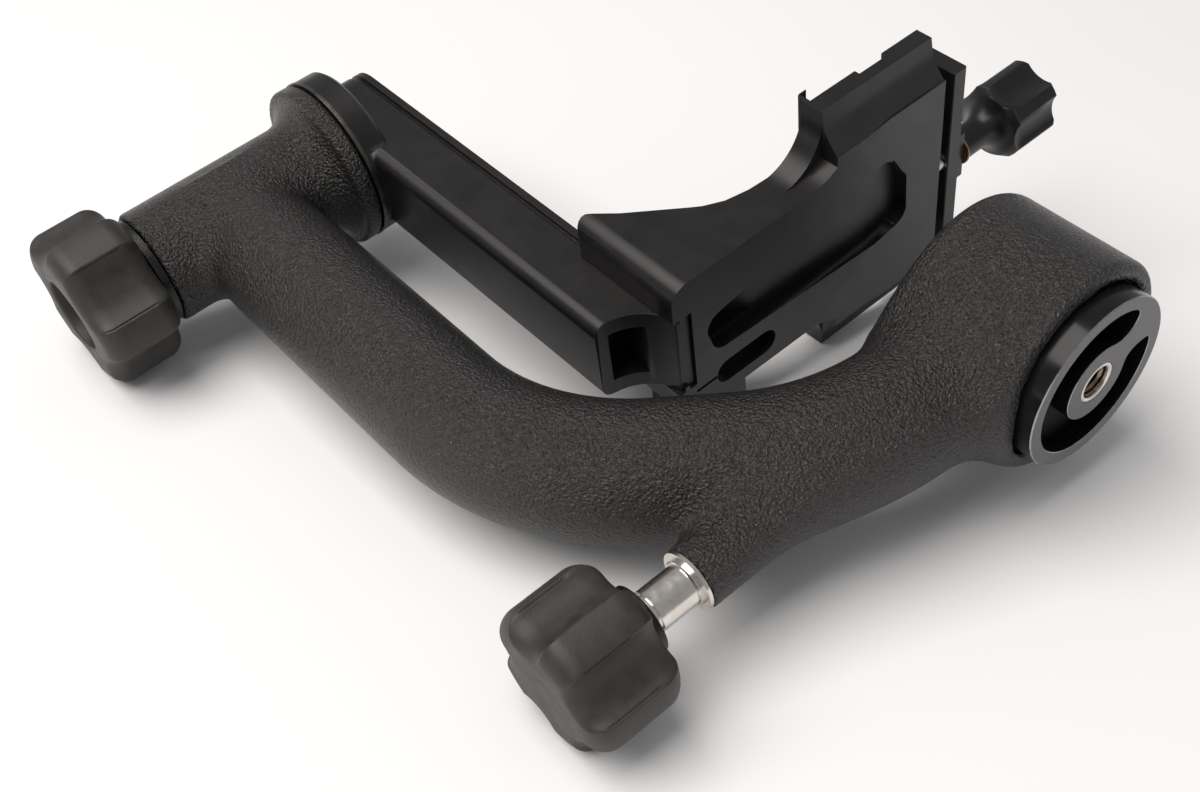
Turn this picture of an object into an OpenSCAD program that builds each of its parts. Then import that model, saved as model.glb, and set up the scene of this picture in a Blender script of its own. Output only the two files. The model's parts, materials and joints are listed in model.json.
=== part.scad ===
// Gimbal tripod head, millimetres, +Z up along the pan axis.
// The origin is the centre of the base disc's bottom face, where the tripod screw enters.
// The tilt axis runs along X at tilt_h. The clamp's groove runs along Y.

/* [Pan base] */
// Diameter of the turned base disc
base_d = 50.8; // [48:0.2:56]
// Height of the base disc, most of it proud of the housing
base_h = 9; // [8.5:0.1:10]
// Height at which the housing's bottom face starts
housing_z0 = 6.2; // [5.8:0.1:6.6]
// Depth of the C-shaped relief in the disc's bottom face
relief_depth = 5.5; // [3:0.1:6.5]
// Outer diameter of the relief
relief_d = 43; // [40:0.2:44]
// Diameter of the hub left in the middle of the relief
hub_d = 22.4; // [18:0.2:26]
// Width of the spoke between hub and rim
spoke_w = 8.5; // [6:0.5:14]
// Direction of the spoke, turned from +X about +Z
spoke_angle = -26; // [-90:1:90]
// Outer diameter of the threaded insert
insert_d = 12; // [11.5:0.1:13]
// Length of the threaded insert
insert_len = 12; // [10:0.5:13]
// Major diameter of the tripod thread, 3/8 inch
thread_d = 9.525; // [9.5:0.005:9.6]

/* [Pan housing] */
// Outer diameter of the pan housing
housing_d = 62; // [60:0.2:66]
// Height of the housing's top face
housing_z1 = 48.2; // [48:0.2:52]
// Rounding of the housing's top edge
housing_round = 5; // [3:0.5:8]
// Rounding of the housing's bottom edge
housing_foot_round = 2.5; // [1:0.5:4]
// Radial gap between the base disc and the recess that it turns in
disc_gap = 1.0; // [0.5:0.1:1.4]
// Diameter of the pan spindle where the bearings sit
spindle_d = 25; // [22:1:26]
// Outer diameter of a pan bearing
pan_bearing_d = 37; // [36:1:42]
// Width of a pan bearing
pan_bearing_w = 6.5; // [5.5:0.25:6.5]

/* [C-arm] */
// Height of the tilt axis above the base
tilt_h = 221; // [212:1:240]
// Distance of the arm's upright from the pan axis
upright_x = 124.4; // [122:0.2:130]
// Diameter of the arm's round section
arm_d = 37.4; // [35:0.2:39]
// Height of the arm's lower run and of the pan lock
arm_z = 28.2; // [27.6:0.1:28.4]
// Slope of the arm between its two bends, below the horizontal
arm_slope = 40.4; // [36:0.1:44]
// Distance from the pan axis at which the sloping and the level run would meet
knee_x = 63.2; // [60:0.2:66]
// Bend radius between the upright and the sloping run
upper_bend_r = 72; // [60:1:76]
// Bend radius between the sloping and the level run
lower_bend_r = 74; // [60:1:78]
// Distance of the pan lock boss's end from the pan axis
boss_x = 114.5; // [112:0.5:118]
// Diameter of the pan lock boss
boss_d = 17.4; // [17:0.2:20]

/* [Tilt neck] */
// Diameter of the neck that carries the tilt axle
neck_d = 35.8; // [35.2:0.2:38]
// Distance of the neck's outer end from the pan axis
neck_x = 153.7; // [152:0.1:157]
// Distance of the hub flange's face from the pan axis
flange_x = 88.5; // [87:0.5:90]
// Diameter of the hub flange
flange_d = 52.4; // [50:0.2:56]
// Diameter of the tilt axle in its bearings
axle_d = 17; // [16:0.5:18]
// Outer diameter of a tilt bearing
tilt_bearing_d = 30; // [28:0.5:31]
// Width of a tilt bearing
tilt_bearing_w = 7; // [6:0.5:8]
// Diameter of the threaded end of the axle
stud_d = 12; // [10:0.5:13]

/* [Swing arm] */
// Thickness of the ring between the hub flange and the swing arm
ring_t = 1.2; // [1:0.1:1.6]
// Width of the swing arm's bar
bar_w = 28; // [26:0.5:30]
// Thickness of the bar
bar_t = 17.5; // [16:0.5:19]
// Height of the bar's lower end at rest
bar_z0 = 96; // [94:0.5:100]
// Height of the rail's lower end at rest
rail_z0 = 83; // [82.5:0.5:88]
// Height of the rail's upper end at rest
rail_z1 = 243; // [240:1:247]
// Half width of the rail's narrow neck
rail_neck = 12.4; // [11.5:0.1:12.8]
// Half width of the rail's wide side, the same as the bar's
rail_half = 14; // [13.6:0.1:15]

/* [Platform] */
// Height of the platform's underside at rest
plate_z0 = 82; // [81:0.5:82.4]
// Half width of the platform at the rail
plate_half = 25.8; // [25:0.1:28]
// Height of the root that grips the rail
root_h = 39.5; // [36:0.5:44]
// Height of the clamp's floor above the platform's underside
floor_h = 11.4; // [11:0.1:12.5]
// Distance of the pinch boss's far side from the middle of the platform
pinch_boss_y = 34; // [33:0.5:38]
// Half length of the clamp's bed
bed_half = 44.8; // [42:0.2:48]
// Thickness of the bed's ends
bed_t = 5.4; // [4.5:0.1:6]
// Distance of the fixed jaw's outer face from the pan axis
bed_x0 = 9.3; // [8:0.1:11]
// Distance of the bed's open edge from the pan axis
bed_x1 = 33; // [32:0.1:34]
// Height of the jaws above the clamp's floor
jaw_h = 4.2; // [4:0.1:5]

/* [Moving jaw] */
// Gap between the bed and the moving jaw at rest
jaw_gap = 3.5; // [3.4:0.1:4]
// Thickness of the moving jaw
jaw_t = 5.2; // [5:0.1:6.5]
// Half length of the moving jaw
jaw_half = 33.2; // [30:0.2:36]
// Height of the clamp screw above the platform's underside
screw_h = 4; // [3.9:0.1:5]

/* [Knobs] */
// Diameter of the tilt knob over its lobes
tilt_knob_d = 49.8; // [46:0.2:54]
// Length of the tilt knob
tilt_knob_l = 24; // [22:0.5:28]
// Diameter of the pan lock knob over its lobes
pan_knob_d = 40.4; // [36:0.2:43]
// Length of the pan lock knob
pan_knob_l = 27; // [24:0.5:29]
// Diameter of the clamp knob over its lobes
clamp_knob_d = 23.6; // [22:0.2:26]
// Length of the clamp knob's fluted head
clamp_knob_l = 19; // [17:0.5:21]
// Number of lobes on the two large knobs
large_lobes = 5; // [5:1:6]
// Number of hollows around the clamp knob
small_lobes = 5; // [5:1:6]

/* [Hidden] */
$fn = 96;

// Named clearances
fit_gap = 0.05;      // radial gap of a running fit or of a pressed piece in its seat
face_gap = 0.3;      // gap between faces that turn or slide past each other
slide_gap = 0.2;     // gap between the rail and the platform's groove
eps = 0.01;          // overlap of a cutting tool past the face that it opens
weld = 0.05;         // overlap of two joined bodies
bend_lap = 0.6;      // length by which a straight tube runs into a bend
bend_swell = 0.06;   // radius by which a bend covers the tubes that run into it

// Pan joint, along Z
housing_r = housing_d / 2;
recess_depth = 3.8;
recess_z = housing_z0 + recess_depth;
recess_r = base_d / 2 + disc_gap;
spigot_r = 10;
spigot_z = relief_depth + 0.5;
spindle_r = spindle_d / 2;
spindle_thread_r = spindle_r - 0.5;
spindle_shoulder = 2;
lower_bearing_z = recess_z + 1;
shoulder_top = lower_bearing_z - face_gap;
seat_slack = 0.2;
cap_t = 2.1;
cap_seat = cap_t + 0.1;
cap_r = pan_bearing_d / 2 + 1.5;
nut_t = 3;
washer_t = 0.8;
nut_z = housing_z1 - cap_seat - face_gap - nut_t;
spring_z = nut_z - seat_slack - washer_t;
upper_bearing_z = spring_z - seat_slack - pan_bearing_w;
lip_r = pan_bearing_d / 2 - 2.5;
spindle_top = nut_z + nut_t;
insert_z = 0;

// Centre line of the C-arm, in the plane y = 0
arm_r = arm_d / 2;
upper_turn = 90 - arm_slope;
lower_tangent = lower_bend_r * tan(arm_slope / 2);
upper_tangent = upper_bend_r * tan(upper_turn / 2);
upper_knee_z = arm_z + (upright_x - knee_x) * tan(arm_slope);
upright_z0 = upper_knee_z + upper_tangent;
slope_x0 = -upright_x + upper_tangent * cos(arm_slope);
slope_z0 = upper_knee_z - upper_tangent * sin(arm_slope);
slope_len = (upright_x - knee_x) / cos(arm_slope) - upper_tangent - lower_tangent;
level_x0 = -knee_x + lower_tangent;
taper_h = 30;

// Pan lock, along X at arm_z
lock_shaft_r = 5.75;
lock_bore_r = lock_shaft_r + 0.4;
bush_seat_r = 7;
bush_seat_l = 12.5;
bush_flange_r = 8.3;
bush_flange_t = 1;
bush_step_r = 6.5;
bush_step_t = 1.2;
collar_x = 130;
collar_t = 2.7;
collar_r = 9.4;
lock_shaft_x0 = -collar_x - collar_t - pan_knob_l + 7;
shoe_gap = 1.2;
shoe_l = 3.3;
shoe_r = lock_bore_r - fit_gap;

// Tilt joint, along X at tilt_h
neck_r = neck_d / 2;
flange_r = flange_d / 2;
rim_w = 5.5;
bell_hollow_r = 8;
axle_r = axle_d / 2;
axle_clear = 0.7;
tilt_seat_r = tilt_bearing_d / 2 + fit_gap;
inner_bearing_x = flange_x + 4.5;
outer_bearing_x = neck_x - 4.2 - tilt_bearing_w;
arm_face_x = flange_x - face_gap - ring_t;
axle_flange_r = 20;
axle_flange_t = 3;
axle_shoulder_r = 11;
axle_screw_r = 1.5;
axle_screw_pitch_r = 15.5;
axle_screw_l = 7;
lock_nut_t = 3.3;
lock_nut_r = 12.5;
lock_nut_x = outer_bearing_x + tilt_bearing_w + 0.2;
stud_r = stud_d / 2;
brake_gap = 0.5;
brake_t = 2.2;
brake_r = neck_r - 1.2;
knob_x = neck_x + brake_gap + brake_t + 0.2;
tilt_knob_r = tilt_knob_d / 2;
knob_hollow_depth = 9;
knob_hollow_r = 11.3;
knob_insert_r = 9;
crest_half = 14;

// Swing arm
bar_inset = 1.5;
bar_x1 = arm_face_x - bar_inset - bar_t;
bar_half = bar_w / 2;
bar_round = 4;
hub_t = 8;
cove_r = 16.4;
neck_t = 2;
rail_t = 2.2;
rail_x0 = bar_x1 - neck_t;
rail_x1 = rail_x0 - rail_t;
top_z = rail_z1 - rail_half;
slot_half = 1.4;
slot_depth = 1.4;
travel = 112;

// Platform, given as [x, z] or [x, y] in the rest pose
plate_z1 = plate_z0 + floor_h;
web_top = plate_z1 + 2.1;
bed_z0 = plate_z1 - bed_t;
lip_x = 70;
root_z1 = plate_z0 + root_h;
root_x1 = 46;
root_round = 6;
web_x = 20;
flare_half = 33.4;
jaw_top = plate_z1 + jaw_h;
hook = 3.6;
pin_y = -4.7;
pin_z = plate_z0 + 5;
pin_r = 1.1;
pin_l = 7;
pinch_x = -52;
pinch_z = plate_z0 + 10;
pinch_r = 3;
pinch_head_r = 5;

// Clamp, along X at clamp_z
clamp_z = plate_z0 + screw_h;
jaw_x0 = bed_x1 + jaw_gap;
jaw_x1 = jaw_x0 + jaw_t;
jaw_boss_t = 2.2;
jaw_boss_half = 8;
washer_x = jaw_x1 + jaw_boss_t + 0.1;
clamp_washer_t = 0.8;
screw_r = 3;
screw_x0 = 24.5;
clip_r = 3.6;
clip_t = 0.8;
clamp_neck_r = 4.8;
clamp_neck_l = 7.1;
flare_l = 6.5;
clamp_knob_x = washer_x + clamp_washer_t + 0.1;
clamp_knob_r = clamp_knob_d / 2;
guide_r = 2;
guide_y = 24;
guide_z = plate_z0 + 6;
guide_x0 = 18;
guide_hole_x = 14;

black_casting = [0.07, 0.07, 0.075];
black_anodised = [0.05, 0.05, 0.055];
grey_face = [0.34, 0.34, 0.35];
rubbery_black = [0.10, 0.10, 0.10];
steel = [0.75, 0.74, 0.72];
dark_steel = [0.30, 0.30, 0.31];
brass = [0.72, 0.52, 0.32];

// ---- Helpers -------------------------------------------------------------------------------

module ring(outer_r, inner_r, h) {
    difference() {
        cylinder(r = outer_r, h = h);
        translate([0, 0, -eps]) cylinder(r = inner_r, h = h + 2 * eps);
    }
}

module block(x, y, z) {
    translate([x[0], y[0], z[0]]) cube([x[1] - x[0], y[1] - y[0], z[1] - z[0]]);
}

// Children stand along +X from x, on the axis at y and z
module along_x(x, z = 0, y = 0) {
    translate([x, y, z]) rotate([0, 90, 0]) children();
}

// A [x, z] outline drawn out along Y
module along_y(y0, y1) {
    translate([0, y1, 0]) rotate([90, 0, 0]) linear_extrude(y1 - y0) children();
}

// Solid of revolution from [radius, height] points
module turned(points) {
    rotate_extrude() polygon(points);
}

// Points of an arc, from angle a0 to a1
function arc(c, r, a0, a1, n = 8) =
    [for (i = [0:n]) let (a = a0 + (a1 - a0) * i / n) c + r * [cos(a), sin(a)]];

// Sealed ball bearing: one ring with chamfered edges and a shallow shield recess on both sides
module bearing(outer_d, inner_d, w) {
    chamfer = 0.6;
    shield_depth = 0.5;
    outer_r = outer_d / 2;
    inner_r = inner_d / 2 + fit_gap;
    land = (outer_r - inner_r) / 4;
    difference() {
        turned([[inner_r, 0], [outer_r - chamfer, 0], [outer_r, chamfer], [outer_r, w - chamfer],
            [outer_r - chamfer, w], [inner_r, w]]);
        for (z = [-eps, w - shield_depth])
            translate([0, 0, z]) ring(outer_r - land, inner_r + land, shield_depth + eps);
    }
}

// Grip along +Z with shallow hollows between its lobes, rounded at both ends
module lobed_grip(d, l, end_round, lobe_angle) {
    r = d / 2;
    floor_r = 0.85 * r;
    hollow_at = (r * r - floor_r * floor_r)
        / (2 * (r * cos(180 / large_lobes - crest_half) - floor_r));
    hollow_r = hollow_at - floor_r;
    difference() {
        turned(concat([[0, 0]], arc([r - end_round, end_round], end_round, -90, 0, 10),
            arc([r - end_round, l - end_round], end_round, 0, 90, 10), [[0, l]]));
        for (i = [0:large_lobes - 1]) rotate(lobe_angle + (i + 0.5) * 360 / large_lobes)
            translate([hollow_at, 0, -eps]) cylinder(r = hollow_r, h = l + 2 * eps);
    }
}

// ---- Pan base ------------------------------------------------------------------------------

module base_disc() {
    chamfer = 0.4;
    base_r = base_d / 2;
    fillet_r = 3;
    color(grey_face) difference() {
        turned([[0, 0], [base_r - chamfer, 0], [base_r, chamfer], [base_r, base_h - chamfer],
            [base_r - chamfer, base_h], [0, base_h]]);
        translate([0, 0, -eps]) difference() {
            ring(relief_d / 2, hub_d / 2, relief_depth + eps);
            rotate(spoke_angle) translate([hub_d / 2 - 3, -spoke_w / 2, -eps])
                cube([(relief_d - hub_d) / 2 + 6, spoke_w, relief_depth + 3 * eps]);
        }
        translate([0, 0, -eps]) cylinder(r = insert_d / 2 + fit_gap, h = base_h + 2 * eps);
        translate([0, 0, spigot_z]) cylinder(r = spigot_r + fit_gap, h = base_h);
    }
}

module thread_insert() {
    lead_in = 0.3;
    color(steel) translate([0, 0, insert_z])
        turned([[thread_d / 2 + lead_in, 0], [insert_d / 2, 0], [insert_d / 2, insert_len],
            [thread_d / 2, insert_len], [thread_d / 2, lead_in]]);
}

module pan_spindle() {
    bore_top = insert_z + insert_len + face_gap;
    color(dark_steel) difference() {
        turned([[0, spigot_z + eps], [spigot_r, spigot_z + eps], [spigot_r, base_h + eps],
            [spindle_r + spindle_shoulder, base_h + eps],
            [spindle_r + spindle_shoulder, shoulder_top], [spindle_r, shoulder_top],
            [spindle_r, spring_z - seat_slack], [spindle_thread_r, spring_z - seat_slack],
            [spindle_thread_r, spindle_top - 0.8], [spindle_thread_r - 0.8, spindle_top],
            [0, spindle_top]]);
        cylinder(r = insert_d / 2 + fit_gap, h = bore_top);
    }
}

module pan_bearing_lower() {
    color(steel) translate([0, 0, lower_bearing_z])
        bearing(pan_bearing_d, spindle_d, pan_bearing_w);
}

module pan_bearing_upper() {
    color(steel) translate([0, 0, upper_bearing_z])
        bearing(pan_bearing_d, spindle_d, pan_bearing_w);
}

module pan_spring_washer() {
    color(steel) translate([0, 0, spring_z])
        ring(spindle_r + 3, spindle_thread_r + fit_gap, washer_t);
}

module pan_lock_nut() {
    notch_w = 3;
    color(dark_steel) translate([0, 0, nut_z]) difference() {
        ring(spindle_r + 4.5, spindle_thread_r + fit_gap, nut_t);
        for (a = [0:90:270]) rotate(a)
            translate([spindle_r + 2.5, -notch_w / 2, -eps])
                cube([4, notch_w, nut_t + 2 * eps]);
    }
}

// ---- C-arm ---------------------------------------------------------------------------------

// Part of a ring-shaped bend around an axis along Y, from angle a0 over the given turn
module bend(bend_r, a0, turn) {
    rotate([90, 0, 0]) rotate(a0) rotate_extrude(angle = turn) translate([bend_r, 0])
        circle(r = arm_r + bend_swell);
}

module arm_tube() {
    translate([-upright_x, 0, upright_z0 - bend_lap])
        cylinder(r = arm_r, h = tilt_h - taper_h - upright_z0 + bend_lap);
    translate([-upright_x, 0, tilt_h - taper_h])
        cylinder(r1 = arm_r, r2 = neck_r - 0.1, h = taper_h);
    translate([-upright_x + upper_bend_r, 0, upright_z0]) bend(upper_bend_r, 180, upper_turn);
    translate([slope_x0, 0, slope_z0]) rotate([0, 90 + arm_slope, 0])
        translate([0, 0, -bend_lap]) cylinder(r = arm_r, h = slope_len + 2 * bend_lap);
    translate([level_x0, 0, arm_z + lower_bend_r]) bend(lower_bend_r, 270 - arm_slope, arm_slope);
    along_x(level_x0 - bend_lap, arm_z) cylinder(r = arm_r, h = -level_x0 - 8);
}

module housing_solid() {
    turned(concat([[0, housing_z0]],
        arc([housing_r - housing_foot_round, housing_z0 + housing_foot_round],
            housing_foot_round, -90, 0),
        arc([housing_r - housing_round, housing_z1 - housing_round], housing_round, 0, 90, 12),
        [[0, housing_z1]]));
}

// Neck with the flared hub flange; the profile's height runs along +X from the neck's outer end
module neck_solid() {
    l = neck_x - flange_x;
    edge = 0.4;
    hollow = [neck_r + bell_hollow_r, l - rim_w - bell_hollow_r + 0.2];
    along_x(-neck_x, tilt_h)
        turned(concat([[0, 0], [neck_r - edge, 0], [neck_r, edge]],
            arc(hollow, bell_hollow_r, 180, 105, 10),
            [[flange_r, l - rim_w], [flange_r, l - edge], [flange_r - edge, l], [0, l]]));
}

module c_arm() {
    color(black_casting) difference() {
        union() {
            arm_tube();
            housing_solid();
            neck_solid();
            along_x(-boss_x, arm_z) cylinder(r = boss_d / 2, h = boss_x - knee_x);
        }
        pan_bores();
        lock_bores();
        tilt_bores();
    }
}

module pan_bores() {
    seat_r = pan_bearing_d / 2 + fit_gap;
    lower_top = lower_bearing_z + pan_bearing_w + seat_slack;
    translate([0, 0, housing_z0 - eps]) cylinder(r = recess_r, h = recess_depth + eps);
    translate([0, 0, recess_z - eps]) cylinder(r = seat_r, h = lower_top - recess_z + eps);
    translate([0, 0, lower_top - eps]) cylinder(r = lip_r, h = housing_z1 - lower_top);
    translate([0, 0, upper_bearing_z - seat_slack])
        cylinder(r = seat_r, h = housing_z1 - upper_bearing_z);
    translate([0, 0, housing_z1 - cap_seat]) cylinder(r = cap_r + fit_gap, h = cap_seat + eps);
}

module lock_bores() {
    along_x(-boss_x - eps, arm_z) cylinder(r = bush_seat_r + fit_gap, h = bush_seat_l + eps);
    along_x(-boss_x, arm_z) cylinder(r = lock_bore_r, h = boss_x - lip_r + 3);
}

module tilt_bores() {
    along_x(-neck_x - eps, tilt_h)
        cylinder(r = tilt_seat_r, h = neck_x - outer_bearing_x + seat_slack + eps);
    along_x(-neck_x, tilt_h) cylinder(r = axle_r + axle_clear, h = neck_x - flange_x);
    along_x(-inner_bearing_x - tilt_bearing_w - seat_slack, tilt_h)
        cylinder(r = tilt_seat_r, h = inner_bearing_x + tilt_bearing_w + seat_slack
            - flange_x + eps);
}

module housing_cap() {
    chamfer = 0.5;
    color(black_anodised) translate([0, 0, housing_z1 - cap_t])
        turned([[0, 0], [cap_r, 0], [cap_r, cap_t - chamfer], [cap_r - chamfer, cap_t],
            [0, cap_t]]);
}

// ---- Pan lock ------------------------------------------------------------------------------

module pan_lock_bush() {
    flange_h = bush_flange_t;
    step_h = bush_flange_t + bush_step_t;
    bore_r = lock_shaft_r + fit_gap;
    color(steel) along_x(-boss_x - step_h, arm_z)
        turned([[bore_r, 0], [bush_step_r - 0.3, 0], [bush_step_r, 0.3],
            [bush_step_r, bush_step_t], [bush_flange_r, bush_step_t],
            [bush_flange_r, step_h - eps], [bush_seat_r, step_h - eps],
            [bush_seat_r, step_h + bush_seat_l - 1], [bore_r, step_h + bush_seat_l - 1]]);
}

module pan_lock_shaft() {
    x1 = -spindle_r - shoe_gap - shoe_l - 0.2;
    l = x1 - lock_shaft_x0;
    groove_x = -collar_x + 1.6 - lock_shaft_x0;
    color(steel) along_x(lock_shaft_x0, arm_z)
        turned(concat([[0, 0], [lock_shaft_r, 0], [lock_shaft_r, groove_x],
            [lock_shaft_r - 0.6, groove_x], [lock_shaft_r - 0.6, groove_x + 0.8],
            [lock_shaft_r, groove_x + 0.8], [lock_shaft_r, l - 2], [lock_shaft_r - 2, l], [0, l]]));
}

module pan_knob_collar() {
    color(rubbery_black) along_x(-collar_x - collar_t, arm_z)
        ring(collar_r, lock_shaft_r + fit_gap, collar_t);
}

module pan_lock_knob() {
    x0 = -collar_x - collar_t - 0.02 - pan_knob_l;
    color(rubbery_black) difference() {
        along_x(x0, arm_z) lobed_grip(pan_knob_d, pan_knob_l, 8, 1);
        along_x(lock_shaft_x0 - 0.2, arm_z) cylinder(r = lock_shaft_r + fit_gap, h = pan_knob_l);
    }
}

module pan_brake_shoe() {
    reach = spindle_r + shoe_gap;
    color(brass) difference() {
        along_x(-reach - shoe_l, arm_z) cylinder(r = shoe_r, h = shoe_l + 2);
        translate([0, 0, arm_z - 2 * shoe_r]) cylinder(r = reach, h = 4 * shoe_r);
    }
}

// ---- Tilt joint ----------------------------------------------------------------------------

module tilt_bearing_inner() {
    color(steel) along_x(-inner_bearing_x - tilt_bearing_w, tilt_h)
        bearing(tilt_bearing_d, axle_d, tilt_bearing_w);
}

module tilt_bearing_outer() {
    color(steel) along_x(-outer_bearing_x - tilt_bearing_w, tilt_h)
        bearing(tilt_bearing_d, axle_d, tilt_bearing_w);
}

// Holes of the screws that hold the axle's flange, around the tilt axis
module at_axle_screws() {
    for (a = [45:90:315]) rotate(a) translate([axle_screw_pitch_r, 0, 0]) children();
}

module tilt_axle() {
    tip = neck_x + brake_gap + brake_t + tilt_knob_l - knob_hollow_depth - 3;
    l = tip - arm_face_x;
    stud_l = tip - lock_nut_x - lock_nut_t - 0.2;
    shoulder_l = inner_bearing_x - 0.2 - arm_face_x;
    color(dark_steel) difference() {
        along_x(-tip, tilt_h)
            turned([[0, 0], [stud_r - 1, 0], [stud_r, 1], [stud_r, stud_l], [axle_r, stud_l],
                [axle_r, l - shoulder_l], [axle_shoulder_r, l - shoulder_l],
                [axle_shoulder_r, l + eps], [axle_flange_r, l + eps],
                [axle_flange_r, l + axle_flange_t - eps], [0, l + axle_flange_t - eps]]);
        along_x(-arm_face_x - eps, tilt_h) at_axle_screws() {
            cylinder(r = axle_screw_r + fit_gap, h = axle_flange_t + 3 * eps);
            cylinder(r1 = 2 * axle_screw_r + fit_gap, r2 = axle_screw_r + fit_gap, h = 1.6);
        }
    }
}

module axle_screws() {
    l = axle_flange_t + axle_screw_l - 1;
    color(steel) along_x(-arm_face_x + 0.05, tilt_h) at_axle_screws() difference() {
        turned([[0, 0], [2 * axle_screw_r - 0.05, 0], [axle_screw_r, 1.5], [axle_screw_r, l],
            [0, l]]);
        translate([0, 0, -eps]) cylinder(r = 1, h = 0.8, $fn = 6);
    }
}

module hub_ring() {
    color(steel) along_x(-arm_face_x - ring_t, tilt_h)
        ring(flange_r + 0.25, axle_flange_r + 0.5, ring_t - 0.02);
}

module tilt_lock_nut() {
    notch_w = 3;
    notch_depth = 1.5;
    color(dark_steel) along_x(-lock_nut_x - lock_nut_t, tilt_h) difference() {
        ring(lock_nut_r, axle_r + fit_gap, lock_nut_t);
        for (a = [0:90:270]) rotate(a)
            translate([lock_nut_r - notch_depth, -notch_w / 2, -eps])
                cube([notch_depth + 1, notch_w, lock_nut_t + 2 * eps]);
    }
}

module tilt_brake_washer() {
    color(dark_steel) along_x(-neck_x - brake_gap - brake_t, tilt_h)
        ring(brake_r, stud_r + fit_gap, brake_t);
}

module tilt_knob_insert() {
    l = tilt_knob_l - knob_hollow_depth;
    color(brass) along_x(-knob_x - l, tilt_h) ring(knob_insert_r, stud_r + fit_gap, l);
}

module tilt_knob() {
    color(rubbery_black) along_x(-knob_x - tilt_knob_l, tilt_h) difference() {
        lobed_grip(tilt_knob_d, tilt_knob_l, 5.5, 66.5);
        translate([0, 0, -eps]) {
            cylinder(r = knob_insert_r + fit_gap, h = tilt_knob_l + 2 * eps);
            cylinder(r = knob_hollow_r, h = knob_hollow_depth);
        }
    }
}

// ---- Swing arm -----------------------------------------------------------------------------

module swing_arm() {
    bar_x0 = -arm_face_x + bar_inset;
    color(black_anodised) difference() {
        union() {
            along_x(-arm_face_x, tilt_h) turned([[0, 0], [flange_r, 0], [flange_r, hub_t - 1],
                [flange_r - 1, hub_t], [0, hub_t]]);
            bar_solid(bar_x0);
            rail_solid();
        }
        along_x(-arm_face_x - eps, tilt_h) {
            cylinder(r = axle_flange_r + fit_gap, h = axle_flange_t + eps);
            at_axle_screws() cylinder(r = axle_screw_r + fit_gap, h = axle_flange_t + axle_screw_l);
        }
        block([-rail_x1 - slot_depth, -rail_x1 + eps], [pin_y - slot_half, pin_y + slot_half],
            [pin_z - slot_half, pin_z + travel + slot_half]);
        // Hollow in the bar's lower end
        block([bar_x0 + 4, -bar_x1 - 4.5], [-bar_half + 5, bar_half - 5],
            [bar_z0 - 20, bar_z0 + 6]);
    }
}

// Bar with two rounded edges along its length, a cove at its lower end and a round upper end
module bar_solid(x0) {
    cove = [x0 + 1.2, bar_z0 - cove_r];
    intersection() {
        along_y(-bar_half, bar_half)
            polygon(concat([[-bar_x1, rail_z0]], arc(cove, cove_r, 14, 90, 10),
                [[x0, bar_z0], [x0, top_z + bar_half], [-bar_x1, top_z + bar_half]]));
        union() {
            translate([0, 0, rail_z0 - 1]) linear_extrude(top_z - rail_z0 + 1) bar_plan(x0);
            along_x(x0, top_z) cylinder(r = bar_half, h = -bar_x1 - x0);
        }
    }
}

// Bar in plan: straight at the rail, rounded at the outer face
module bar_plan(x0) {
    translate([x0 + bar_round, -bar_half]) square([-bar_x1 - x0 - bar_round, bar_w]);
    translate([x0, -bar_half + bar_round]) square([bar_round + 1, bar_w - 2 * bar_round]);
    for (s = [-1, 1]) translate([x0 + bar_round, s * (bar_half - bar_round)])
        circle(r = bar_round, $fn = 48);
}

module rail_solid() {
    block([-bar_x1 - weld, -rail_x0 + weld], [-rail_neck, rail_neck], [rail_z0, top_z]);
    block([-rail_x0, -rail_x1], [-rail_half, rail_half], [rail_z0, top_z]);
    along_x(-rail_x0, top_z) cylinder(r = rail_half, h = rail_t);
    along_x(-bar_x1 - weld, top_z) cylinder(r = rail_neck, h = neck_t + 2 * weld);
}

// ---- Platform ------------------------------------------------------------------------------

// Outline of root and web in [x, z]
module web_side() {
    polygon(concat([[-lip_x, plate_z0], [-lip_x, root_z1 - 3]],
        arc([-lip_x + 3, root_z1 - 3], 3, 180, 60, 5),
        [[-58.9, root_z1 - 7.2], [-44.5, root_z1 - 19.2], [-41.8, root_z1 - 21.3],
        [-36.2, web_top + 1.9], [-28.8, web_top + 0.4], [-web_x, web_top],
        [-bed_x0 + 1, web_top], [-bed_x0 + 1, plate_z0]]));
}

// Outline of the flared plate in [x, y], both halves
module flare_plan(extra) {
    side = [[-web_x, plate_half], [-13.6, plate_half + 1.3 + extra / 3],
        [-6.6, 30.4 + extra / 2], [2.5, 32.4 + extra], [11.1, flare_half + extra],
        [bed_x1, flare_half + extra]];
    polygon(concat(side, [for (i = [len(side) - 1:-1:0]) [side[i][0], -side[i][1]]]));
}

// Scooped underside of the bed's two ends, as a [y, z] outline drawn out along X
module scoop_solid() {
    side = [[flare_half - 1, plate_z0], [35.9, plate_z0 + 3.1], [38.7, plate_z0 + 4.9],
        [40.9, bed_z0 - 0.6], [bed_half, bed_z0], [bed_half, plate_z1 - 1]];
    along_x(-bed_x0) linear_extrude(bed_x0 + bed_x1)
        polygon([for (p = concat(side, [for (i = [len(side) - 1:-1:0]) [-side[i][0], side[i][1]]]))
            [-p[1], p[0]]]);
}

// Rounded inner corner between the web's side and the fixed jaw's outer face
module corner_fill(s) {
    fill_r = 15;
    translate([0, 0, bed_z0]) linear_extrude(web_top - bed_z0) difference() {
        translate([-bed_x0 - fill_r, s > 0 ? plate_half - 1 : -plate_half - fill_r])
            square([fill_r + 1, fill_r + 1]);
        translate([-bed_x0 - fill_r, s * (plate_half + fill_r)]) circle(r = fill_r);
    }
}

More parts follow.
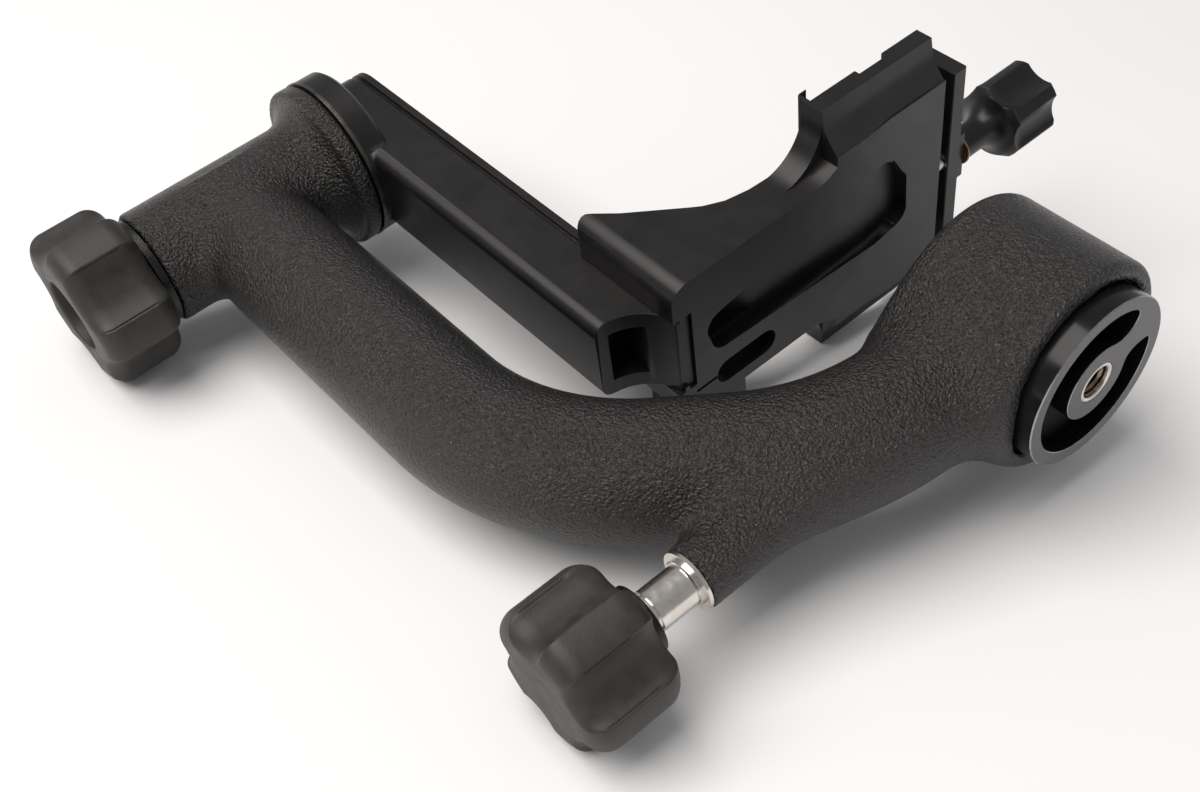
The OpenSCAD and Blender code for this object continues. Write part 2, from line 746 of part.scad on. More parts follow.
module fixed_jaw() {
    x0 = -bed_x0;
    along_y(-bed_half, bed_half) polygon([[x0, bed_z0], [x0, jaw_top - 1], [x0 + 0.6, jaw_top - 0.3],
        [x0 + 1.4, jaw_top], [x0 + hook + 0.2, jaw_top], [x0 + hook, jaw_top - 1.6],
        [x0 + 1.2, plate_z1], [x0 + 1.2, bed_z0]]);
}

module platform() {
    color(black_anodised) difference() {
        union() {
            along_y(-plate_half, plate_half) web_side();
            translate([0, 0, plate_z0]) linear_extrude(floor_h) flare_plan(0);
            intersection() {
                scoop_solid();
                translate([0, 0, plate_z0 - 1]) linear_extrude(floor_h + 2) flare_plan(bed_half);
            }
            block([-bed_x0, bed_x1], [-bed_half, bed_half], [bed_z0, plate_z1]);
            for (s = [-1, 1]) corner_fill(s);
            fixed_jaw();
            block([-lip_x + 4, -root_x1], [plate_half - 1, pinch_boss_y],
                [plate_z0, pinch_z + 8]);
        }
        rail_groove();
        root_edges();
        under_pocket();
        pinch_cuts();
        block([8.8, 19], [-bed_half - eps, bed_half + eps], [plate_z1 - 1.7, plate_z1 + eps]);
        // Clear the floor in front of the fixed jaw
        block([-bed_x0 + 1.3, bed_x1 + eps], [-bed_half - eps, bed_half + eps],
            [plate_z1, web_top + 1.9]);
        along_x(screw_x0 - 4, clamp_z) cylinder(r = screw_r + fit_gap, h = bed_x1);
        for (s = [-1, 1]) along_x(guide_hole_x, guide_z, s * guide_y)
            cylinder(r = guide_r + fit_gap, h = bed_x1);
        along_x(-rail_x1 - slide_gap, pin_z, pin_y) cylinder(r = pin_r + fit_gap, h = pin_l - 1);
    }
}

module rail_groove() {
    z = [plate_z0 - 1, root_z1 + 1];
    block([-lip_x - 1, -bar_x1 + slide_gap], [-bar_half - slide_gap, bar_half + slide_gap], z);
    block([-bar_x1, -rail_x0 - slide_gap + eps], [-rail_neck - slide_gap, rail_neck + slide_gap],
        z);
    block([-rail_x0 - slide_gap, -rail_x1 + slide_gap],
        [-rail_half - slide_gap, rail_half + slide_gap], z);
}

// Round the root's two outer upright edges
module root_edges() {
    for (s = [-1, 1]) translate([-lip_x, s * plate_half, plate_z0 - 1])
        linear_extrude(root_h + 2) difference() {
            translate([-1, s > 0 ? -root_round : -1]) square([root_round + 1, root_round + 1]);
            translate([root_round, -s * root_round]) circle(r = root_round);
        }
}

// Hollow in the underside, with rounded corners; its floor slopes deeper below the root
module under_pocket() {
    corner_r = 5;
    depth = 4.2;
    corners = [[-53.5, -2.4], [9.0, -13.6], [13.8, -6.8], [14.2, 3.5], [5.5, 5.0], [-52.2, 2.0]];
    translate([0, 0, plate_z0 - eps]) linear_extrude(depth + eps) {
        polygon([[-58.6, -2.4], [-54.4, -7.3], [8.1, -18.5], [13.3, -17.2], [18.7, -7.7],
            [19.2, 4.0], [14.6, 8.6], [6.2, 10.0], [-53, 7], [-57.2, 2.6]]);
        for (c = corners) translate(c) circle(r = corner_r, $fn = 48);
    }
    along_y(-6.5, 5) polygon([[-57, plate_z0 + 1], [-57, plate_z0 + 16], [-53, plate_z0 + 15.4],
        [-38.9, plate_z0 + depth - 0.2], [-38.9, plate_z0 + 1]]);
}

// Oval pocket, pinch slit and pinch screw hole
module pinch_cuts() {
    oval_r = 4.2;
    z = [plate_z0 - eps, plate_z0 + 24];
    for (x = [-52, -38]) translate([x, 17.4, z[0]]) cylinder(r = oval_r, h = z[1] - z[0]);
    block([-52, -38], [17.4 - oval_r, 17.4 + oval_r], z);
    block([-rail_x1, -52], [16.6, 17.6], [plate_z0 - eps, root_z1 + 1]);
    translate([pinch_x, pinch_boss_y + eps, pinch_z]) rotate([90, 0, 0]) {
        cylinder(r = pinch_r + fit_gap, h = 27);
        cylinder(r = pinch_head_r + fit_gap, h = 6);
    }
}

module travel_pin() {
    color(steel) along_x(-rail_x1 - slot_depth, pin_z, pin_y) cylinder(r = pin_r, h = pin_l);
}

module pinch_screw() {
    head_l = 5.5;
    color(dark_steel) translate([pinch_x, pinch_boss_y - 0.4, pinch_z]) rotate([90, 0, 0])
        difference() {
            union() {
                cylinder(r = pinch_head_r, h = head_l);
                cylinder(r = pinch_r, h = 26);
            }
            translate([0, 0, -eps]) cylinder(r = 2.5, h = 3, $fn = 6);
        }
}

// ---- Clamp ---------------------------------------------------------------------------------

module moving_jaw() {
    color(black_anodised) difference() {
        union() {
            along_y(-jaw_half, jaw_half) polygon([[jaw_x0, plate_z0 + 0.4],
                [jaw_x0 + 0.4, plate_z0], [jaw_x1 - 0.4, plate_z0], [jaw_x1, plate_z0 + 0.4],
                [jaw_x1, jaw_top - 0.5], [jaw_x1 - 0.5, jaw_top], [jaw_x0 - hook + 1, jaw_top],
                [jaw_x0 - hook + 1.2, jaw_top - 1.6], [jaw_x0, plate_z1]]);
            block([jaw_x1 - 1, jaw_x1 + jaw_boss_t], [-jaw_boss_half, jaw_boss_half],
                [plate_z0 + 0.4, plate_z0 + 11]);
        }
        along_x(jaw_x0 - 1, clamp_z) cylinder(r = screw_r + 0.3, h = jaw_t + jaw_boss_t + 2);
        along_x(jaw_x0 - eps, clamp_z) cylinder(r = clip_r + 0.15, h = 1.4);
        for (s = [-1, 1]) along_x(jaw_x0 - eps, guide_z, s * guide_y)
            cylinder(r = guide_r + fit_gap, h = jaw_t - 1);
    }
}

module jaw_guide_pins() {
    color(steel) for (s = [-1, 1]) along_x(guide_x0, guide_z, s * guide_y)
        cylinder(r = guide_r, h = jaw_x1 - 1.2 - guide_x0);
}

module clamp_washer() {
    color(brass) along_x(washer_x, clamp_z) ring(6.8, screw_r + 0.3, clamp_washer_t);
}

module clamp_clip() {
    color(steel) along_x(jaw_x0 + 0.3, clamp_z) ring(clip_r, screw_r + fit_gap, clip_t);
}

module clamp_screw() {
    color(steel) along_x(screw_x0, clamp_z)
        cylinder(r = screw_r, h = clamp_knob_x + clamp_neck_l + 8 - screw_x0);
}

module clamp_knob() {
    l = clamp_neck_l + flare_l + clamp_knob_l;
    head_h = clamp_neck_l + flare_l;
    flute_r = 8.5;
    flute_at = clamp_knob_r + 0.62 * flute_r;
    flute_angle = 70.5;
    edge = 1;
    color(black_anodised) along_x(clamp_knob_x, clamp_z) difference() {
        turned(concat([[0, 0], [clamp_neck_r, 0], [clamp_neck_r, clamp_neck_l]],
            arc([clamp_neck_r + flare_l, clamp_neck_l], flare_l, 180, 100, 8),
            [[clamp_knob_r, head_h + 1.5], [clamp_knob_r, l - edge], [clamp_knob_r - edge, l],
            [0, l]]));
        for (i = [0:small_lobes - 1]) rotate(i * 360 / small_lobes + flute_angle)
            translate([flute_at, 0, head_h + flute_r - 3.5]) {
                cylinder(r = flute_r, h = l, $fn = 48);
                sphere(r = flute_r, $fn = 48);
            }
        translate([0, 0, -eps]) cylinder(r = screw_r + fit_gap, h = clamp_neck_l + 8.3);
    }
}

// ---- Assembly ------------------------------------------------------------------------------

base_disc();
thread_insert();
pan_spindle();
pan_bearing_lower();
pan_bearing_upper();
pan_spring_washer();
pan_lock_nut();
c_arm();
housing_cap();
pan_lock_bush();
pan_lock_shaft();
pan_knob_collar();
pan_lock_knob();
pan_brake_shoe();
tilt_bearing_inner();
tilt_bearing_outer();
tilt_axle();
axle_screws();
hub_ring();
tilt_lock_nut();
tilt_brake_washer();
tilt_knob_insert();
tilt_knob();
swing_arm();
platform();
travel_pin();
pinch_screw();
moving_jaw();
jaw_guide_pins();
clamp_washer();
clamp_clip();
clamp_screw();
clamp_knob();
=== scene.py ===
import json
import math

import bmesh
import bpy
import numpy as np
from mathutils import Matrix, Vector
from mathutils.geometry import tessellate_polygon

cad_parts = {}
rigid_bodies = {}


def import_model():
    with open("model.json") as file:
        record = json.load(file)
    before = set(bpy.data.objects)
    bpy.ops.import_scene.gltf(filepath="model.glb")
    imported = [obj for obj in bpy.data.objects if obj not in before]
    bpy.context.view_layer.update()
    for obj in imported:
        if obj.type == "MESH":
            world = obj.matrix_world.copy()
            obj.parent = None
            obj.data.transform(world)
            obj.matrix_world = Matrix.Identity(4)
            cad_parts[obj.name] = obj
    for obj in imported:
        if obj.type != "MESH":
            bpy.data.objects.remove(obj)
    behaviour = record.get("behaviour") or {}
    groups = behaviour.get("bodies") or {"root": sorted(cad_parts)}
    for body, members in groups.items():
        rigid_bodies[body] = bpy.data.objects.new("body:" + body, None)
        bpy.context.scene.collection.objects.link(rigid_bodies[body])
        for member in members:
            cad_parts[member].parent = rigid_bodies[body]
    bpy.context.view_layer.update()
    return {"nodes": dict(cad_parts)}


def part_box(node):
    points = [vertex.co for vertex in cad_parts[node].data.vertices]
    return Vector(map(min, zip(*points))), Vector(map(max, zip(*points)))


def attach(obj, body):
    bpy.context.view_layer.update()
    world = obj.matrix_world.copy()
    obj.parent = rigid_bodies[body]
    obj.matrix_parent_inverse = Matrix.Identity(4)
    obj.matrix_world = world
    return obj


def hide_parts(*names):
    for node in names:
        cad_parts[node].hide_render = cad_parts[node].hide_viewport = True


for startObject in list(bpy.data.objects):
    bpy.data.objects.remove(startObject)
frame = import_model()
mm = 0.001  # sizes below are in millimetres, places in the head's own frame


# Node helpers for materials

def nodeTree(name):
    mat = bpy.data.materials.new(name)
    mat.use_nodes = True
    tree = mat.node_tree
    return mat, tree, tree.nodes["Principled BSDF"]


def noiseNode(tree, coords, scale, detail=2.0, roughness=0.5):
    node = tree.nodes.new("ShaderNodeTexNoise")
    node.inputs["Scale"].default_value = scale
    node.inputs["Detail"].default_value = detail
    node.inputs["Roughness"].default_value = roughness
    tree.links.new(coords, node.inputs["Vector"])
    return node.outputs["Fac"]


def mapRange(tree, value, low, high, fromLow=0.3, fromHigh=0.7):
    node = tree.nodes.new("ShaderNodeMapRange")
    node.inputs["From Min"].default_value = fromLow
    node.inputs["From Max"].default_value = fromHigh
    node.inputs["To Min"].default_value = low
    node.inputs["To Max"].default_value = high
    tree.links.new(value, node.inputs["Value"])
    return node.outputs["Result"]


def mixColour(tree, factor, first, second):
    node = tree.nodes.new("ShaderNodeMix")
    node.data_type = "RGBA"
    node.inputs["A"].default_value = (*first, 1)
    node.inputs["B"].default_value = (*second, 1)
    tree.links.new(factor, node.inputs["Factor"])
    return node.outputs["Result"]


# One finish: two close colours and a roughness range spread by noise, and grain as a bump
def finish(name, look):
    mat, tree, shader = nodeTree(name)
    coords = tree.nodes.new("ShaderNodeTexCoord").outputs["Object"]
    mottle = noiseNode(tree, coords, look["mottleScale"], 3.0)
    shade = mapRange(tree, mottle, 0.0, 1.0)
    tree.links.new(mixColour(tree, shade, look["dark"], look["light"]), shader.inputs["Base Color"])
    tree.links.new(mapRange(tree, mottle, *look["roughness"]), shader.inputs["Roughness"])
    shader.inputs["Metallic"].default_value = look.get("metallic", 0.0)
    shader.inputs["Specular IOR Level"].default_value = look.get("specular", 0.5)
    grain = noiseNode(tree, coords, look["grainScale"], look.get("grainDetail", 2.0), 0.6)
    bump = tree.nodes.new("ShaderNodeBump")
    bump.inputs["Strength"].default_value = look["grainStrength"]
    bump.inputs["Distance"].default_value = look["grainDepth"] * mm
    tree.links.new(grain, bump.inputs["Height"])
    tree.links.new(bump.outputs["Normal"], shader.inputs["Normal"])
    return mat


looks = {
    "casting": {"dark": (0.0035, 0.0031, 0.003), "light": (0.018, 0.0161, 0.015), "mottleScale": 1200,
                "roughness": (0.24, 0.38), "grainScale": 1150, "grainDetail": 2.0,
                "grainStrength": 1.0, "grainDepth": 1.2, "specular": 0.62},
    "anodised": {"dark": (0.0062, 0.0056, 0.0056), "light": (0.0095, 0.0086, 0.0085),
                 "mottleScale": 120, "roughness": (0.30, 0.38), "grainScale": 2300,
                 "grainStrength": 0.16, "grainDepth": 0.1, "specular": 0.42},
    # Painted highlight: a lighter, part-metallic copy of the anodise for the bevelled edges
    "anodisedPaintedHighlight": {"dark": (0.030, 0.026, 0.0245), "light": (0.048, 0.042, 0.039),
                     "mottleScale": 300, "roughness": (0.26, 0.36), "grainScale": 1900,
                     "grainStrength": 0.15, "grainDepth": 0.1, "metallic": 0.35},
    # Painted light: a lighter copy of the anodise for the platform's down-facing faces, standing in for the
    # light they catch
    "underside": {"dark": (0.014, 0.0138, 0.0138), "light": (0.020, 0.0195, 0.0195),
                  "mottleScale": 150, "roughness": (0.34, 0.44), "grainScale": 2000,
                  "grainStrength": 0.16, "grainDepth": 0.1, "specular": 0.5},
    "discFace": {"dark": (0.105, 0.105, 0.108), "light": (0.145, 0.145, 0.148), "mottleScale": 240,
                 "roughness": (0.36, 0.46), "grainScale": 1700, "grainStrength": 0.12,
                 "grainDepth": 0.1, "metallic": 0.6},
    # Painted highlight: a bright metallic copy of the disc face for the rim bevel and the relief's edge band
    "discPaintedHighlight": {"dark": (0.30, 0.29, 0.28), "light": (0.42, 0.41, 0.40), "mottleScale": 400,
                 "roughness": (0.22, 0.32), "grainScale": 1700, "grainStrength": 0.1,
                 "grainDepth": 0.1, "metallic": 0.9},
    "discSide": {"dark": (0.006, 0.006, 0.0068), "light": (0.010, 0.0098, 0.0108),
                 "mottleScale": 200, "roughness": (0.14, 0.22), "grainScale": 900,
                 "grainStrength": 0.04, "grainDepth": 0.1, "specular": 0.26},
    # Black anodise made darker and duller than the anodise elsewhere: painted shade in the relief pocket and
    # the bore
    "relief": {"dark": (0.002, 0.002, 0.002), "light": (0.0035, 0.0035, 0.0035),
               "mottleScale": 300, "roughness": (0.5, 0.6), "grainScale": 1400,
               "grainStrength": 0.2, "grainDepth": 0.1, "specular": 0.12},
    "polished": {"dark": (0.66, 0.62, 0.57), "light": (0.80, 0.76, 0.71), "mottleScale": 400,
                 "roughness": (0.14, 0.24), "grainScale": 1500, "grainStrength": 0.05,
                 "grainDepth": 0.1, "metallic": 1.0},
    # The threads' bronze tone, darkened as painted shade inside the bore; the lip keeps the polished colour
    "threadBronzeAndShade": {"dark": (0.16, 0.12, 0.085), "light": (0.34, 0.27, 0.20), "mottleScale": 500,
                    "roughness": (0.22, 0.36), "grainScale": 1500, "grainStrength": 0.1,
                    "grainDepth": 0.1, "metallic": 1.0},
    "steel": {"dark": (0.45, 0.44, 0.43), "light": (0.6, 0.59, 0.57), "mottleScale": 500,
              "roughness": (0.22, 0.36), "grainScale": 1800, "grainStrength": 0.15,
              "grainDepth": 0.1, "metallic": 1.0},
    "ringMetal": {"dark": (0.075, 0.068, 0.062), "light": (0.13, 0.12, 0.11), "mottleScale": 260,
                  "roughness": (0.3, 0.42), "grainScale": 1500, "grainStrength": 0.2,
                  "grainDepth": 0.1, "metallic": 0.9},
    "darkSteel": {"dark": (0.005, 0.0048, 0.0045), "light": (0.013, 0.0125, 0.012),
                  "mottleScale": 420, "roughness": (0.22, 0.4), "grainScale": 1400,
                  "grainStrength": 0.3, "grainDepth": 0.2, "metallic": 0.3},
    "rubbery": {"dark": (0.021, 0.020, 0.0188), "light": (0.036, 0.0345, 0.0322),
                "mottleScale": 210, "roughness": (0.44, 0.58), "grainScale": 1500,
                "grainDetail": 3.0, "grainStrength": 0.3, "grainDepth": 0.2, "specular": 0.45},
    "brass": {"dark": (0.30, 0.20, 0.11), "light": (0.45, 0.31, 0.18), "mottleScale": 400,
              "roughness": (0.25, 0.4), "grainScale": 1500, "grainStrength": 0.15,
              "grainDepth": 0.1, "metallic": 1.0},
}
mats = {name: finish(name, look) for name, look in looks.items()}
print("materials", len(mats))


# Mesh helpers

def addPiece(name, verts, faces, body, materials, replaced=(), sharp=35):
    mesh = bpy.data.meshes.new(name)
    mesh.from_pydata(verts, [], faces)
    mesh.update()
    return placePiece(name, mesh, body, materials, replaced, sharp)


def placePiece(name, mesh, body, materials, replaced=(), sharp=35, weighted=False):
    for mat in materials:
        mesh.materials.append(mats[mat])
    mesh.shade_smooth()
    mesh.set_sharp_from_angle(angle=math.radians(sharp))
    obj = bpy.data.objects.new(name, mesh)
    bpy.context.scene.collection.objects.link(obj)
    if weighted:
        normals = obj.modifiers.new("faceNormals", "WEIGHTED_NORMAL")
        normals.keep_sharp = True
        normals.weight = 100
    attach(obj, body)
    if replaced:
        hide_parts(*replaced)
    return obj


def mergedNode(node):
    source = frame["nodes"][node].data
    bm = bmesh.new()
    bm.from_mesh(source)
    bmesh.ops.remove_doubles(bm, verts=bm.verts, dist=2e-6)
    bmesh.ops.dissolve_limit(bm, angle_limit=math.radians(1.2), verts=bm.verts, edges=bm.edges,
                             delimit=set())
    return bm


# A machined piece: the CAD node with its crisp edges broken by a narrow bevel
def machined(node, body, materials, bevel=0.3, angle=32, segments=2, paint=None):
    bm = mergedNode(node)
    for face in bm.faces:
        face.material_index = paint(face) if paint else 0
    # Only edges whose neighbours are long enough are broken, so that no bevel folds over
    roomy = {v for v in bm.verts if min(e.calc_length() for e in v.link_edges) > 2.2 * bevel * mm}
    edges = [e for e in bm.edges if len(e.link_faces) == 2 and roomy.issuperset(e.verts)
             and e.calc_face_angle(0) > math.radians(angle)]
    # The bevel faces take the list's last material; for the anodised pieces that is the lighter copy painted
    # as an edge highlight
    if edges:
        bmesh.ops.bevel(bm, geom=edges, offset=bevel * mm, segments=segments, profile=0.6,
                        affect="EDGES", clamp_overlap=True, material=len(materials) - 1)
    bmesh.ops.remove_doubles(bm, verts=bm.verts, dist=1e-6)
    bmesh.ops.recalc_face_normals(bm, faces=bm.faces)
    mesh = bpy.data.meshes.new(node + "_finished")
    bm.to_mesh(mesh)
    bm.free()
    return placePiece(node + "_finished", mesh, body, materials, (node,), 30, True)


# C-arm: one casting, as a blend of round solids sampled on a grid. The field is below zero inside it

armShape = {
    "cell": 1.1, "blendNeck": 6.0, "blendHousing": 13.0, "blendBoss": 9.0, "edge": 1.4,
    "tube": 18.7, "uprightX": -124.4, "uprightLow": 113.55, "tiltZ": 221.0, "neckR": 17.9,
    "upperBend": (-52.4, 113.55, 72.0), "lowerBend": (-35.97, 102.2, 74.0), "panZ": 28.2,
    "slope": ((-99.07, 58.72), (-83.93, 45.85)), "levelEnd": -8.0,
    "neckEnd": -153.7, "flangeX": (-94.0, -88.5), "flangeR": 26.2, "bell": (-101.8, 25.9, 8.0),
    "housingR": 31.0, "housingZ": (6.2, 48.2), "housingTop": 5.0, "housingFoot": 2.5,
    "bossEnd": -114.5, "bossR": 8.7, "bossRoot": -50.0, "crownSlope": 0.6, "crownEnd": -60.0,
    "taper": (191, 30, 0.9), "bendTurn": 229.6, "fromGrid": (-156.0, -33.0, 4.0),
    "gridSize": (189.0, 66.0, 246.0), "boreEdge": 0.5,
    # Each bore: its radius, where it starts and where it ends along its axis
    "panBores": ((26.4, 0, 10.0), (18.55, 9, 17.7), (16.0, 16, 60), (18.55, 34.95, 60), (20.05, 46.0, 60)),
    "lockBores": ((7.05, -116, -102.0), (6.15, -103, -13.0)),
    "tiltBores": ((15.05, -155, -142.3), (9.2, -143, -88), (15.05, -100.2, -88)),
}


def smoothMin(a, b, k):
    h = np.maximum(k - np.abs(a - b), 0) / k
    return np.minimum(a, b) - h * h * k * 0.25


def smoothMax(a, b, k):
    return -smoothMin(-a, -b, k)


def segmentDistance(x, z, a, b):
    dx, dz = b[0] - a[0], b[1] - a[1]
    t = np.clip(((x - a[0]) * dx + (z - a[1]) * dz) / (dx * dx + dz * dz), 0, 1)
    return np.hypot(x - a[0] - t * dx, z - a[1] - t * dz)


def arcDistance(x, z, arc, start, end):
    cx, cz, r = arc
    angle = np.mod(np.degrees(np.arctan2(z - cz, x - cx)), 360)
    inside = (angle >= start) & (angle <= end)
    return np.where(inside, np.abs(np.hypot(x - cx, z - cz) - r), 1e3)


def roundedCylinder(radial, along, r, low, high, roundLow, roundHigh):
    rounding = np.where(along > (low + high) / 2, roundHigh, roundLow)
    middle, half = (low + high) / 2, (high - low) / 2
    a = radial - r + rounding
    b = np.abs(along - middle) - half + rounding
    return np.minimum(np.maximum(a, b), 0) + np.hypot(np.maximum(a, 0), np.maximum(b, 0)) - rounding


def armField(p):
    s = armShape
    x, y, z = p[:, 0], p[:, 1], p[:, 2]
    path = segmentDistance(x, z, *s["slope"])
    path = np.minimum(path, arcDistance(x, z, s["upperBend"], 180, s["bendTurn"]))
    path = np.minimum(path, arcDistance(x, z, s["lowerBend"], s["bendTurn"], 270))
    level = ((s["lowerBend"][0], s["panZ"]), (s["levelEnd"], s["panZ"]))
    path = np.minimum(path, segmentDistance(x, z, *level))
    tube = np.hypot(path, y) - s["tube"]
    taperFrom, taperLength, taperBy = s["taper"]
    taper = np.clip((z - taperFrom) / taperLength, 0, 1) * taperBy
    upright = np.hypot(x - s["uprightX"], y) - s["tube"] + taper
    upright = np.maximum(np.maximum(upright, z - s["tiltZ"]), s["uprightLow"] - z)
    tube = np.minimum(tube, upright)
    radial = np.hypot(y, z - s["tiltZ"])
    neck = smoothMax(radial - s["neckR"], s["neckEnd"] - x, s["edge"])
    neck = np.maximum(neck, x - s["flangeX"][1])
    low, high = s["flangeX"]
    flange = smoothMax(radial - s["flangeR"], np.maximum(low - x, x - high), s["edge"])
    bx, br, bell = s["bell"]
    fillet = np.maximum(np.maximum(bx - x, x - low - 0.5), bell - np.hypot(x - bx, radial - br))
    fillet = np.maximum(fillet, radial - br)
    neck = np.minimum(np.minimum(neck, flange), fillet)
    pan = np.hypot(x, y)
    housing = roundedCylinder(pan, z, s["housingR"], *s["housingZ"], s["housingFoot"], s["housingTop"])
    boss = np.hypot(y, z - s["panZ"]) - s["bossR"]
    boss = np.maximum(smoothMax(boss, s["bossEnd"] - x, s["edge"]), x - s["bossRoot"])
    d = smoothMin(tube, neck, s["blendNeck"])
    d = smoothMin(d, housing, s["blendHousing"])
    d = smoothMin(d, boss, s["blendBoss"])
    # The housing's crown stays flat where the tube blends into it
    crown = z - s["housingZ"][1] - s["crownSlope"] * np.maximum(-s["housingR"] - x, 0)
    d = smoothMax(d, np.where(x > s["crownEnd"], crown, -99.0), s["edge"])
    return smoothMax(d, -armBores(x, y, z, pan, radial), s["boreEdge"])


def boreAlong(radial, along, r, low, high):
    return np.maximum(radial - r, np.maximum(low - along, along - high))


def armBores(x, y, z, pan, radial):
    s = armShape
    lock = np.hypot(y, z - s["panZ"])
    cuts = [boreAlong(pan, z, *bore) for bore in s["panBores"]]
    cuts += [boreAlong(lock, x, *bore) for bore in s["lockBores"]]
    cuts += [boreAlong(radial, x, *bore) for bore in s["tiltBores"]]
    return np.minimum.reduce(cuts)


# One vertex for each grid cell that the surface crosses, and a quad for each crossed grid edge
def surfaceNet(field, low, cell):
    inside = field < 0
    shape = np.array(field.shape)
    cells = shape - 1
    total = np.zeros((cells.prod(), 3))
    count = np.zeros(cells.prod())
    quads = []
    for axis in range(3):
        unit = np.zeros(3, int)
        unit[axis] = 1
        lowSide = [slice(None)] * 3
        highSide = [slice(None)] * 3
        lowSide[axis], highSide[axis] = slice(0, -1), slice(1, None)
        at = np.argwhere(inside[tuple(lowSide)] != inside[tuple(highSide)])
        a, b = field[tuple(at.T)], field[tuple((at + unit).T)]
        point = at + np.outer(a / (a - b), unit)
        u, v = (axis + 1) % 3, (axis + 2) % 3
        ring = []
        for du, dv in ((0, 0), (1, 0), (1, 1), (0, 1)):
            c = at.copy()
            c[:, u] -= du
            c[:, v] -= dv
            ring.append(np.ravel_multi_index(c.T, cells))
            for k in range(3):
                total[:, k] += np.bincount(ring[-1], weights=point[:, k], minlength=len(count))
            count += np.bincount(ring[-1], minlength=len(count))
        quad = np.stack(ring, 1)
        quad[a >= 0] = quad[a >= 0][:, ::-1]
        quads.append(quad)
    quads = np.concatenate(quads)
    used, index = np.unique(quads, return_inverse=True)
    verts = total[used] / count[used][:, None] * cell + low
    return verts, index.reshape(-1, 4)


def buildArm():
    cell = armShape["cell"]
    low = np.array(armShape["fromGrid"])
    steps = [int(v / cell) + 2 for v in armShape["gridSize"]]
    axes = [low[i] + cell * np.arange(steps[i]) for i in range(3)]
    grid = np.stack(np.meshgrid(*axes, indexing="ij"), -1).reshape(-1, 3)
    verts, quads = surfaceNet(armField(grid).reshape(steps), low, cell)
    probe, reach = 0.05, 0.4
    for _ in range(3):  # move each vertex onto the surface
        d = armField(verts)
        slope = np.stack([armField(verts + step) - armField(verts - step)
                          for step in np.eye(3) * probe], 1) / (2 * probe)
        steep = np.maximum((slope ** 2).sum(1), 0.2)
        verts -= np.clip(d, -reach, reach)[:, None] * slope / steep[:, None]
    addPiece("c_arm_casting", (verts * mm).tolist(), quads.tolist(), "c_arm",
             ["casting"], ("c_arm",), 50)
    print("c-arm", len(quads))


buildArm()


# Lobed knobs

# The knob's profile from its outer face to the end of its bore, as (x, radius)
def knobPath(s):
    x0, x1, r, end = s["outerX"], s["innerX"], s["r"], s["round"]
    path = []
    if s["hole"]:
        path += [(s["holeX"], 0.3 + s["bore"]), (s["holeX"], s["hole"] - 0.4), (s["holeX"] - 0.3, s["hole"]),
                 (x0 + 0.8, s["hole"]), (x0 + 0.3, s["hole"] + 0.2), (x0, s["hole"] + 0.9)]
    else:
        path += [(x0, t / 6 * (r - end)) for t in range(6)]
    steps = 10
    path += [(x0 + end * (1 - math.cos(a)), r - end + end * math.sin(a))
             for a in (math.pi / 2 * i / steps for i in range(steps + 1))]
    rows = 26
    path += [(x0 + end + (x1 - x0 - 2 * end) * i / rows, r) for i in range(1, rows)]
    path += [(x1 - end * (1 - math.cos(a)), r - end + end * math.sin(a))
             for a in (math.pi / 2 * (1 - i / steps) for i in range(steps + 1))]
    path += [(x1, s["bore"] + 0.6), (x1 - 0.4, s["bore"]), (s["boreX"], s["bore"])]
    if not s["hole"]:
        path += [(s["boreX"] - 0.2, 0.0)]
    return path


# The profile turned round X, with valleys between the lobes and a fine line at each crest's edges
def buildKnob(name, s, body, replaced):
    path = knobPath(s)
    around = s["around"]
    theta = np.radians(np.arange(around) * 360 / around)
    pitch = 360 / s["lobes"]
    floorR = s["r"] - s["valley"]
    reachIn = s["r"] * math.cos(math.radians(pitch / 2 - s["crestHalf"])) - floorR
    hollowAt = (s["r"] ** 2 - floorR ** 2) / (2 * reachIn)
    hollowR = hollowAt - floorR
    off = np.radians((np.degrees(theta) - s["crest"] + pitch) % pitch - pitch / 2)
    reach = hollowR ** 2 - (hollowAt * np.sin(off)) ** 2
    valley = np.where(reach > 0, hollowAt * np.cos(off) - np.sqrt(np.maximum(reach, 0)), 99.0)
    edge = np.degrees(np.abs(off)) - (pitch / 2 - s["crestHalf"])
    outline = np.where(valley < 90, smoothMin(np.full(around, s["r"]), valley, s["soften"]), s["r"])
    line = np.exp(-(np.radians(edge) * s["r"] / s["lineWidth"]) ** 2) * s["lineDepth"]
    verts, faces = [], []
    for x, r in path:
        along = np.clip(x - s["lineX"][0], 0, 1) * np.clip(s["lineX"][1] - x, 0, 1)
        follow = np.clip((r - s["plainR"]) / (s["r"] - s["round"] - s["plainR"]), 0, 1)
        radius = r * (1 + follow * (outline / s["r"] - 1))
        radius = radius - line * along * (r > s["r"] * 0.9)
        for k in range(around):
            verts.append((x * mm, radius[k] * math.cos(theta[k]) * mm,
                          (s["z"] + radius[k] * math.sin(theta[k])) * mm))
    for row in range(len(path) - 1):
        for k in range(around):
            a, b = row * around + k, row * around + (k + 1) % around
            faces.append((a, b, b + around, a + around))
    if s["hole"]:
        last = (len(path) - 1) * around
        for k in range(around):
            faces.append((last + k, last + (k + 1) % around, (k + 1) % around, k))
    mesh = bpy.data.meshes.new(name)
    mesh.from_pydata(verts, [], faces)
    bm = bmesh.new()
    bm.from_mesh(mesh)
    bmesh.ops.remove_doubles(bm, verts=bm.verts, dist=1e-6)
    bmesh.ops.recalc_face_normals(bm, faces=bm.faces)
    bm.to_mesh(mesh)
    bm.free()
    return placePiece(name, mesh, body, ["rubbery"], replaced, 60)


